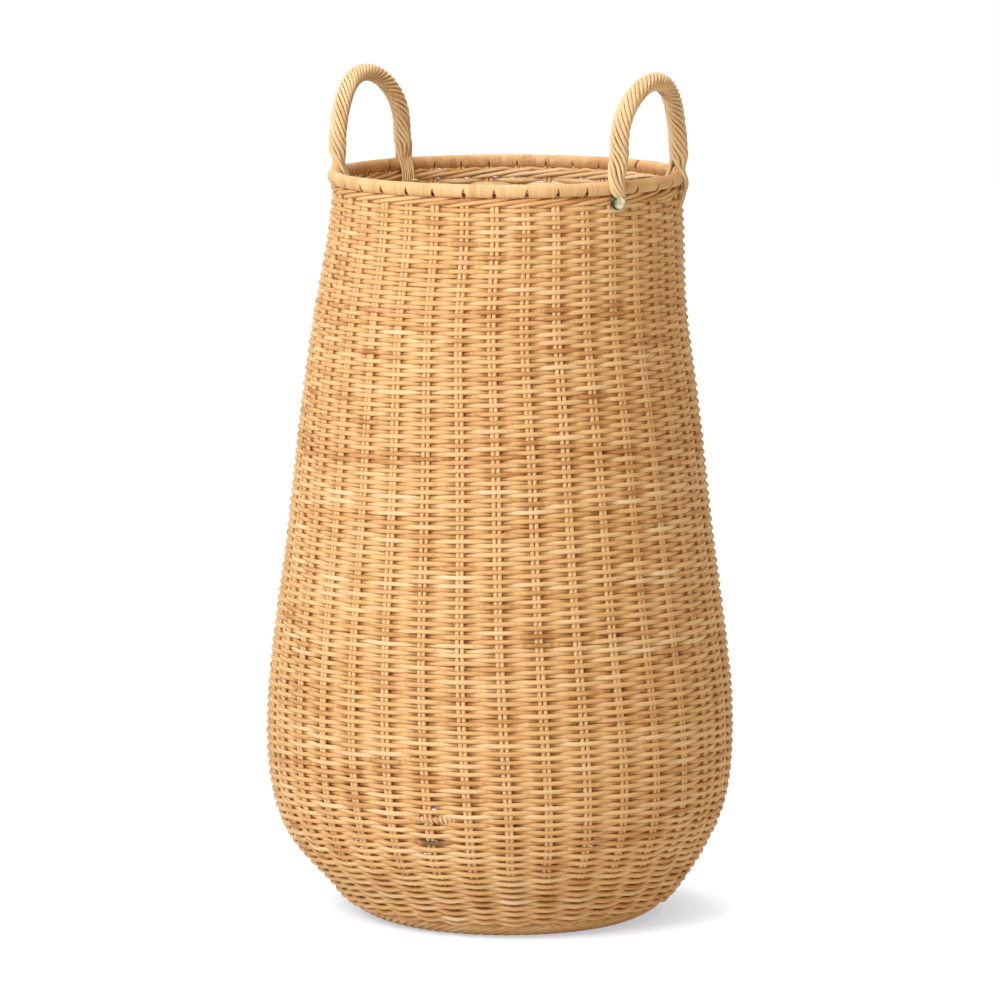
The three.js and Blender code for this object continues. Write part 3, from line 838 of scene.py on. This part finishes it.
def makeHandle(name):
    random = np.random.default_rng(handle["seed"] + len(name))
    middle, canes = handleMiddle[name], handle["canes"]
    angle, height, share, length = handlePath(middle, handle["foot"], 160)
    low, high = handle["twist"]
    twists = low + (high - low) * share[1:] ** 1.5
    turned = summed(np.diff(length) * twists)
    outwards, around = legShift(name, height, share)
    centre = upright(rim["radius"] + outwards, angle + around / rim["radius"], height)
    apex = apexShift[name][0] * rightward + [0, 0, apexShift[name][1]]
    centre = centre + share[:, None] * apex
    outward = np.stack([np.cos(angle), np.sin(angle), np.zeros(len(angle))], -1)
    outer, beside = (part[0] for part in framesAlong(centre[None], False, outward[None]))
    phase = anglesRound(canes)[:, None] - turned + turned[-1] / 2
    offAxis = np.cos(phase)[..., None] * outer + np.sin(phase)[..., None] * beside
    twisted = centre + handle["twistRadius"][name] * offAxis
    routes = []
    for end, leg in enumerate(legs[name]):
        index = 0 if end == 0 else -1
        legAngle = middle + leg["side"] * handle["legTurn"] + leg["slide"] / rim["radius"]
        out = np.array([math.cos(legAngle), math.sin(legAngle), 0])
        across = np.array([-math.sin(legAngle), math.cos(legAngle), 0])
        foot = upright(rim["radius"], legAngle, rimMiddle)
        ends = twisted[:, index] - foot
        order = np.argsort(-(ends @ out))
        tails = [None] * canes
        step = low if end == 0 else -low
        for outside in (True, False):
            group = order[:leg["outsiders"]] if outside else order[leg["outsiders"]:]
            ranked = group[np.argsort(ends[group] @ across)]
            for place, cane in enumerate(ranked):
                sideways = (place - (len(ranked) - 1) / 2) * leg["spacing"]
                stops = tailStops(outside, place, sideways, ends[cane] @ across, leg)
                if leg["outsiders"] == canes:
                    stops = wrappedStops(phase[cane, index], step)
                tails[cane] = np.array([foot + out * radial + across * aside + [0, 0, level - rimMiddle]
                                        for radial, aside, level in stops])
        routes.append(tails)
    laid = []
    for cane in range(canes):
        points = np.concatenate([routes[0][cane][::-1], twisted[cane][4:-4:2], routes[1][cane]])
        way = summed(np.linalg.norm(np.diff(points, axis=0), axis=1))
        laid.append(splineThrough(way, points)(np.linspace(0, way[-1], handle["rings"])))
    tones = random.normal(*handle["tones"], (canes, 1, 1))
    first, last = (leg["taper"] for leg in legs[name])
    along = np.linspace(0, 1, handle["rings"])
    girth = handle["caneRadius"] * np.interp(along, handle["taperAt"], [first, first, 1, 1, last, last])
    tails = [f"handle_tail_{face}_{name}_{leg}" for face in ("outer", "inner") for leg in ("front", "back")]
    piece = layCanes(f"handle_canes_{name}", np.array(laid), girth[:, None], False, 10, None, tones)
    finishPiece(piece, ropeCane, [f"handle_rope_{name}", *tails])
    angle, height, share, _ = handlePath(middle, handle["coreFoot"], 90)
    aboveRim = np.clip((height - rimMiddle) / (12 * mm), 0, 1)
    outwards, around = legShift(name, height, share) * aboveRim
    sunk = np.clip((neck - height) / (neck - handle["coreFoot"]), 0, 1)
    radius = rim["radius"] - handle["coreSunk"] * sunk + outwards
    core = upright(radius, angle + around / rim["radius"], height)
    core = (core + share[:, None] * apex)[None]
    pointed = handle["coreRadius"] * (1 - 0.6 * np.clip((rimMiddle - height) / (10 * mm), 0, 1))
    piece = layCanes(f"handle_core_{name}", core, pointed[:, None], False, 8, None, 0.4)
    finishPiece(piece, stakeCane, [f"handle_bow_{name}"])
    print(name, "handle roped")


# Foot border: a flat rope of canes twisted along the bottom edge, that the basket stands on

border = {
    "canes": 7,
    "pairsRound": 3,  # pairs of stakes that a cane passes while it twists round once
    "caneRadius": 2.6 * mm,
    "middle": 114.6 * mm, "height": 6.65 * mm,
    "reach": (9.0 * mm, 1.0 * mm),  # of the middle of the canes, along the wall and square to it
    "tilt": math.radians(27),
    "tones": (0.74, 0.13),
    # painted shade along the canes' edges
    "edgeShade": 0.5,
    "seed": 51,
}


def makeBorder():
    random = np.random.default_rng(border["seed"])
    rings = wall["pairs"] * 8
    angle = anglesRound(rings)
    cane = np.arange(border["canes"])[:, None]
    phase = angle / pairStep / border["pairsRound"] * turn + cane * turn / border["canes"]
    wide, thick = border["reach"]
    level, steep = math.cos(border["tilt"]), math.sin(border["tilt"])
    along, across = wide * np.cos(phase), thick * np.sin(phase)
    radius = border["middle"] + along * level - across * steep
    height = border["height"] + along * steep + across * level
    routes = upright(radius, angle, height)
    endwise, square = np.cos(phase) * thick / wide, np.sin(phase)
    sideways = endwise * level - square * steep
    upwards = endwise * steep + square * level
    outward = unit(np.stack([np.cos(angle) * sideways, np.sin(angle) * sideways, upwards], -1))
    tones = random.normal(*border["tones"], (border["canes"], 1, 1))
    # painted shade along the canes' edges
    tones = tones - border["edgeShade"] * (1 - np.abs(sideFacing(8)))
    piece = layCanes("foot_border_canes", routes, border["caneRadius"], True, 8, outward, tones)
    finishPiece(piece, weaverCane, ["foot_border"])
    print("foot border twisted")


# Base: nine sticks through nine, opened out to a spoke at every gap between stakes, and woven round

base = {
    "sticks": 9, "stickRadius": 1.5 * mm, "spacing": 3.2 * mm, "rings": 41,
    "square": 15 * mm,  # half the crossing of the sticks
    "openedAt": 34 * mm, "reach": 112 * mm,
    "level": 12.4 * mm, "turned": math.radians(8),
    "firstRow": 21.5 * mm, "lastRow": 107 * mm, "pitch": 3.05 * mm,
    "caneRadius": 1.35 * mm, "swing": 2.4 * mm, "unevenness": 0.12 * mm,
    "stickTones": (0.45, 0.08), "rowTones": (0.45, 0.09),
    "seed": 61,
}


def makeBase():
    random = np.random.default_rng(base["seed"])
    half, square = (base["sticks"] - 1) / 2, base["square"]
    cosine, sine = math.cos(base["turned"]), math.sin(base["turned"])
    reach = np.linspace(-base["reach"], base["reach"], base["rings"])
    opened = eased((np.abs(reach) - square) / (base["openedAt"] - square))
    routes = []
    for crossing in (0, 1):
        for rank in np.arange(base["sticks"]) - half:
            spoke = rank * pairStep
            offset = rank * base["spacing"] * (1 - opened) + np.abs(reach) * math.sin(spoke) * opened
            along = reach * (1 - opened) + reach * math.cos(spoke) * opened
            level = base["level"] + (crossing - 0.5) * 2 * base["stickRadius"] * (1 - opened)
            if crossing == 1:
                along, offset = -offset, along
            x, y = along * cosine - offset * sine, along * sine + offset * cosine
            routes.append(leaned(np.stack([x, y, level], -1)))
    tones = random.normal(*base["stickTones"], (len(routes), 1, 1))
    piece = layCanes("base_spokes", np.array(routes), base["stickRadius"], False, 8, None, tones)
    finishPiece(piece, stakeCane, ["base_sticks"])
    rows = int((base["lastRow"] - base["firstRow"]) / base["pitch"])
    rings = wall["pairs"] * 4
    angle = anglesRound(rings)
    row = np.arange(rows)[:, None]
    uneven = roundBlend(random.normal(0, base["unevenness"], (rows, wall["pairs"])), rings)
    radius = base["firstRow"] + row * base["pitch"] + uneven
    beat = np.cos((angle - base["turned"]) * wall["pairs"] / 2)
    height = base["level"] + base["swing"] * beat * (-1.0) ** row
    tones = random.normal(*base["rowTones"], (rows, 1, 1))
    piece = layCanes("base_rows", upright(radius, angle, height), base["caneRadius"], True, 8, None, tones)
    finishPiece(piece, weaverCane, ["base_mat"])
    print("base woven")


# Stud: a bare domed cap with a rolled edge

stud = {
    "radius": 6.2 * mm, "rise": 2.6 * mm, "edge": 1.0 * mm, "steps": 64,
    "back": 3.4 * mm, "stem": 1 * mm, "sunk": 0.2 * mm,
    "turned": math.radians(-16),
    # from the pale face to the dark of the painted reflection
    "shades": [(0.2, (0.86, 0.85, 0.70)), (0.45, (0.36, 0.36, 0.22)), (0.66, (0.05, 0.055, 0.03))],
    "paintedEdgeReflection": (0.72, 1.0, 1.5),  # where the painted dark reflection round the edge begins, how steeply, and how strong
    "mottle": 190.0,  # spots to the metre
}


def makeStud():
    form = bmesh.new()
    radius, rise, edge, back = (stud[name] for name in ("radius", "rise", "edge", "back"))
    stem, sunk = stud["stem"], stud["sunk"]
    dome = [(radius * 0.93 * math.cos(bend), edge + (rise - edge) * math.sin(bend))
            for bend in np.linspace(0, math.pi / 2, 9)]
    profile = [(0, -back), (stem, -back), (stem, -sunk), (radius * 0.9, -sunk),
               (radius, edge * 0.3), (radius, edge * 0.7), (radius * 0.97, edge), *dome]
    verts = [form.verts.new((max(across, 0), 0, up)) for across, up in profile]
    edges = [form.edges.new(pair) for pair in zip(verts, verts[1:])]
    bmesh.ops.spin(form, geom=verts + edges, axis=(0, 0, 1), angle=turn, steps=stud["steps"], use_merge=True)
    bmesh.ops.remove_doubles(form, verts=form.verts, dist=1e-6)
    bmesh.ops.recalc_face_normals(form, faces=form.faces)
    low, high = (np.array(corner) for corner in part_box("stud"))
    middle = (low + high) / 2
    facing = Vector((middle[0], middle[1], 0)).normalized()
    facing.rotate(Matrix.Rotation(stud["turned"], 3, "Z"))
    place = Vector(leaned(middle[None])[0])
    turned = facing.to_track_quat("Z", "Y").to_matrix().to_4x4()
    bmesh.ops.transform(form, verts=form.verts, matrix=Matrix.Translation(place) @ turned)
    piece = placed("stud_cap", meshOf(form, "stud_cap"))
    piece.data.shade_smooth()
    material, surface, wires = newMaterial("pale_nickel")
    where = wires.node("ShaderNodeTexCoord", None, None, "Object")
    inputs = {"Vector": where, "Scale": stud["mottle"], "Detail": 4.0}
    mottle = wires.node("ShaderNodeTexNoise", None, inputs, "Fac")
    paintedReflectionSide = -rightward * 0.75 + [0, 0, 0.55]  # the upper left, where a dark reflection is painted
    middled = where.vector("SUBTRACT", tuple(place))
    across = middled.vector("DOT_PRODUCT", tuple(paintedReflectionSide), "Value")
    paintedEdgeReflection = (middled.vector("LENGTH", None, "Value") * (1 / radius)).above(*stud["paintedEdgeReflection"])
    # painted reflection: darker towards the upper left and round the edge, over the mottle
    mottleAndPaintedReflection = across * (0.5 / radius) + mottle * 0.8 + paintedEdgeReflection
    plug(mottleAndPaintedReflection.ramp(stud["shades"]), surface, "Base Color")
    plug(mottle * 0.2 + 0.2, surface, "Roughness")
    surface.inputs["Metallic"].default_value = 1.0
    finishPiece(piece, material, ["stud"])
    print("stud set")


makeSiding()
makeTopWaling()
makeStakes()
makeRim()
makeHandle("right")
makeHandle("left")
makeBorder()
makeBase()
makeStud()

# Studio: a pale floor that keeps the shadow, a big soft lamp on the upper left and weaker ones

studio = {
    "floorSize": 12,
    "floorColour": (0.70, 0.745, 0.81),
    "glowColour": (0.76, 0.88, 1.0),
    "bounceColour": (1.0, 0.82, 0.58),
    "floorGlow": (0.5, 1.1),  # under the basket and far from it
    "glowReach": (0.12, 0.25),
    "bounce": 0.14,  # of the floor's glow, on the basket
    "ambient": 0.44,
    "ambientColour": (1.0, 0.775, 0.49),
    "lamps": [  # place to the right, towards the camera and up; size; power; colour
        ("key", (-1.5, 2.15, 2.1), 1.6, 79, (0.98, 1.0, 1.06)),
        ("fill", (2.2, 1.8, 1.2), 1.8, 4, (1.0, 0.74, 0.44)),
        ("top", (-0.2, -0.6, 2.8), 1.6, 30, (1.0, 1.0, 1.0)),
    ],
    "aim": 0.34,
}


def makeStudio():
    form = bmesh.new()
    bmesh.ops.create_grid(form, x_segments=1, y_segments=1, size=studio["floorSize"] / 2)
    floor = placed("floor", meshOf(form, "floor"))
    material, surface, wires = newMaterial("pale_floor")
    surface.inputs["Base Color"].default_value = (*studio["floorColour"], 1)
    surface.inputs["Roughness"].default_value = 0.9
    surface.inputs["Specular IOR Level"].default_value = 0.0
    surface.inputs["Emission Color"].default_value = (1, 1, 1, 1)
    ray = wires.node("ShaderNodeLightPath", None, None, "Is Camera Ray")
    (near, far), (start, end) = studio["floorGlow"], studio["glowReach"]
    where = wires.node("ShaderNodeTexCoord", None, None, "Object")
    away = where.vector("LENGTH", None, "Value")
    strength = ((away - start) * (1 / (end - start))).clamped() * (far - near) + near
    tint = ray.between((*studio["bounceColour"], 1), (*studio["glowColour"], 1))
    power = ray * (strength - studio["bounce"]) + studio["bounce"]
    glow = wires.node("ShaderNodeEmission", None, {"Color": tint, "Strength": power})
    lit = Wire(wires.tree, surface.outputs[0])
    both = wires.node("ShaderNodeAddShader", None, {0: lit, 1: glow})
    plug(both, material.node_tree.nodes["Material Output"], "Surface")
    floor.data.materials.append(material)
    for name, place, size, power, colour in studio["lamps"]:
        data = bpy.data.lights.new(name, "AREA")
        data.shape, data.size, data.energy, data.color = "DISK", size, power, colour
        lamp = placed(name, data)
        spot = Vector(rightward * place[0] + nearward * place[1] + np.array([0, 0, place[2]]))
        lamp.location = spot
        lamp.rotation_euler = (spot - Vector((0, 0, studio["aim"]))).to_track_quat("Z", "Y").to_euler()
    world = bpy.data.worlds.new("white_room")
    world.use_nodes = True
    bpy.context.scene.world = world
    wires = Wire(world.node_tree, None)
    path = wires.node("ShaderNodeLightPath", None, None, "Is Camera Ray")
    outputs = path.socket.node.outputs
    glossy, passing = (Wire(wires.tree, outputs[name]) for name in ("Is Glossy Ray", "Is Transmission Ray"))
    seen = (path + glossy + passing).clamped()
    background = world.node_tree.nodes["Background"]
    colour = seen.between((*studio["ambientColour"], 1), (1, 1, 1, 1))
    plug(colour, background, "Color")
    plug(seen * (1 - studio["ambient"]) + studio["ambient"], background, "Strength")


makeStudio()
bpy.context.scene.view_settings.view_transform = "Standard"
print("studio lit")
